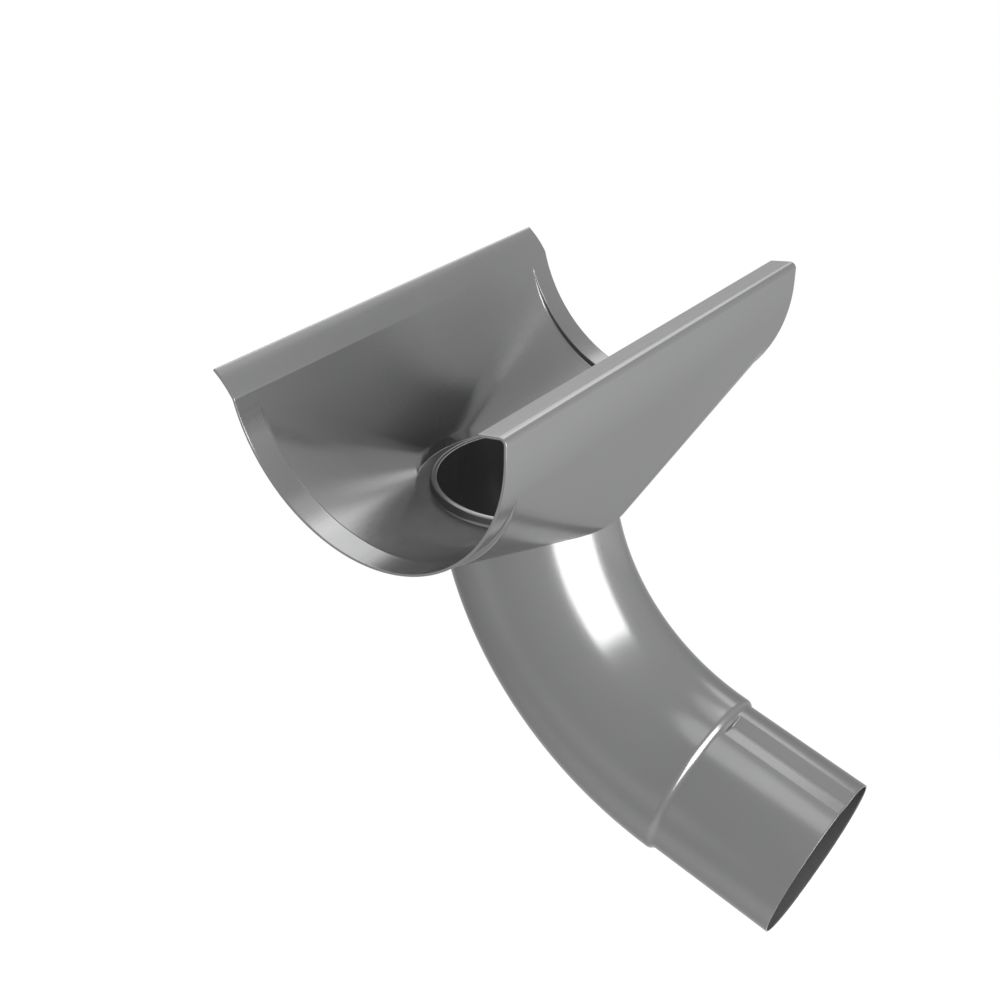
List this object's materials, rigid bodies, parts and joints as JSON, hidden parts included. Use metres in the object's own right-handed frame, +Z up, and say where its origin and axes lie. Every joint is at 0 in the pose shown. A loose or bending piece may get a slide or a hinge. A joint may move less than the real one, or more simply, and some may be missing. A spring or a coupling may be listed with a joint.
{
  "type": "gutter outlet",
  "caption": "Half-round gutter outlet: a sheet-metal saddle with front lip, rear flange and funnelled floor, and a bent outlet pipe with a stepped, grooved spigot.",
  "frame": {"origin": "on the gutter's long axis at the middle of the saddle's length, where the half-round's centre line lies", "axes": "+X along the gutter, +Y towards the wall that the gutter hangs on, +Z up; the elbow bends towards +Y"},
  "size_m": [0.231, 0.2687, 0.2808],
  "materials": {
    "zinc_sheet": "satin grey galvanised or zinc sheet, plain, unpainted"
  },
  "bodies": {
    "root": {"saddle": "zinc_sheet", "elbow": "zinc_sheet"}
  },
  "joints": []
}
